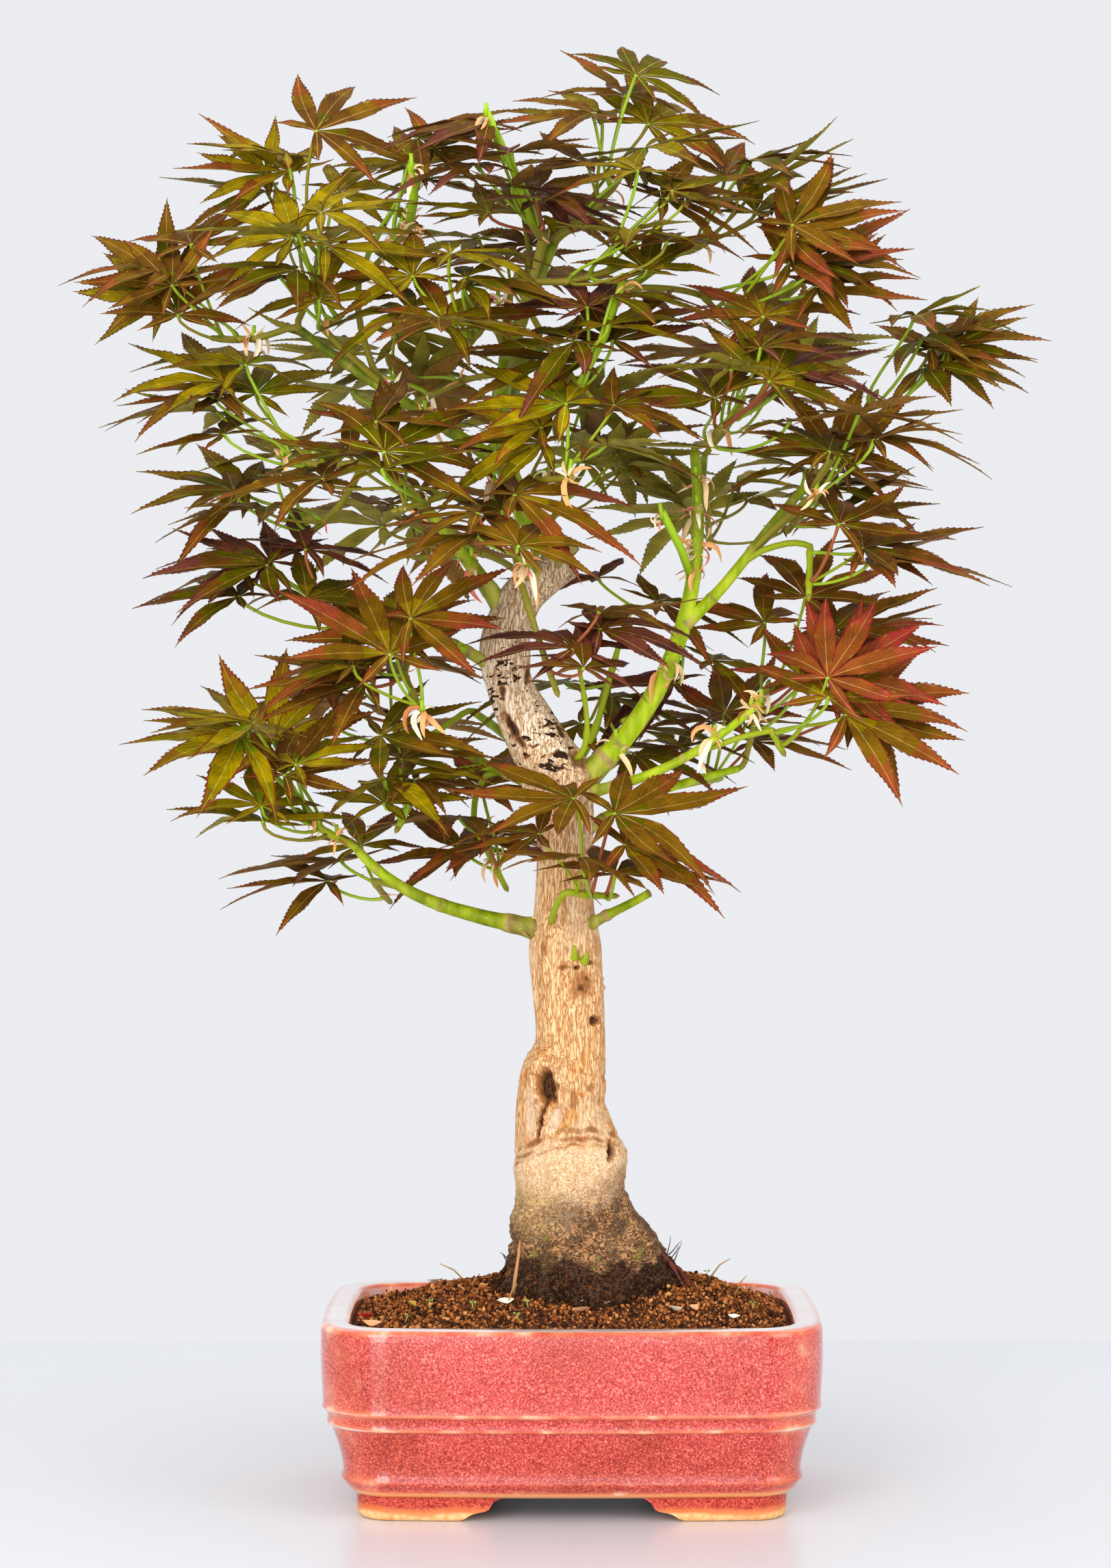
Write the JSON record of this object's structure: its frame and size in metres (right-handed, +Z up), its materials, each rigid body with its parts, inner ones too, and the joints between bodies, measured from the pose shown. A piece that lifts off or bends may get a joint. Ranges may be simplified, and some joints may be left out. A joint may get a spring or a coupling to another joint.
{
  "type": "bonsai japanese maple in a ceramic pot",
  "caption": "Bonsai Japanese maple: a tapered trunk with flared roots, slender boughs and tiers of lobed leaves, planted in soil in a low footed pot.",
  "frame": {"origin": "the middle of the whole bounding box at its bottom: on the surface that the pot's feet stand on, 7 mm left of the pot's own middle and 16 mm behind it", "axes": "+Z up, -Y towards the side that the picture shows, +X to the right of that view"},
  "size_m": [0.4104, 0.2972, 0.6135],
  "materials": {
    "glaze": "glossy mottled red glaze",
    "soil": "matte granules",
    "bark": "rough fibrous bark",
    "young_bark": "satin green bark",
    "foliage": "satin leaves"
  },
  "bodies": {
    "root": {"pot": "glaze", "soil": "soil", "trunk": "bark", "leader": "young_bark", "bough_right": "young_bark", "bough_right_low": "young_bark", "bough_right_lower": "young_bark", "bough_lowest_right": "young_bark", "bough_lowest_left": "young_bark", "bough_left_mid": "young_bark", "bough_left_upper": "young_bark", "bough_upper_left": "young_bark", "bough_front": "young_bark", "bough_back": "young_bark", "bough_back_low": "young_bark", "bough_high_left": "young_bark", "bough_high_right": "young_bark", "bough_high_back": "young_bark", "bough_high_front": "young_bark", "bough_right_out": "young_bark", "bough_right_back": "young_bark", "mass_crown_tip": "foliage", "mass_top_right": "foliage", "mass_top_left": "foliage", "mass_top_mid_left": "foliage", "mass_top_centre": "foliage", "mass_top_mid_right": "foliage", "mass_far_left_high": "foliage", "mass_left_high": "foliage", "mass_right_high": "foliage", "mass_far_right": "foliage", "mass_left_mid": "foliage", "mass_left_mid_low": "foliage", "mass_centre_high": "foliage", "mass_centre_right_high": "foliage", "mass_right_mid": "foliage", "mass_right_inner": "foliage", "mass_right_mid_low": "foliage", "mass_right_low": "foliage", "mass_right_lower": "foliage", "mass_right_red": "foliage", "mass_left_low_mid": "foliage", "mass_left_inner": "foliage", "mass_left_low": "foliage", "mass_left_low_in": "foliage", "mass_lowest_left": "foliage", "mass_low_centre_left": "foliage", "mass_low_front": "foliage", "mass_trunk_front": "foliage", "mass_centre_front": "foliage", "mass_left_front": "foliage", "mass_centre_mid_right": "foliage", "mass_right_inner_back": "foliage", "mass_back_top": "foliage", "mass_back_left": "foliage", "mass_back_right": "foliage", "mass_back_centre": "foliage", "mass_back_left_mid": "foliage", "mass_back_right_mid": "foliage", "mass_back_low": "foliage"}
  },
  "joints": []
}
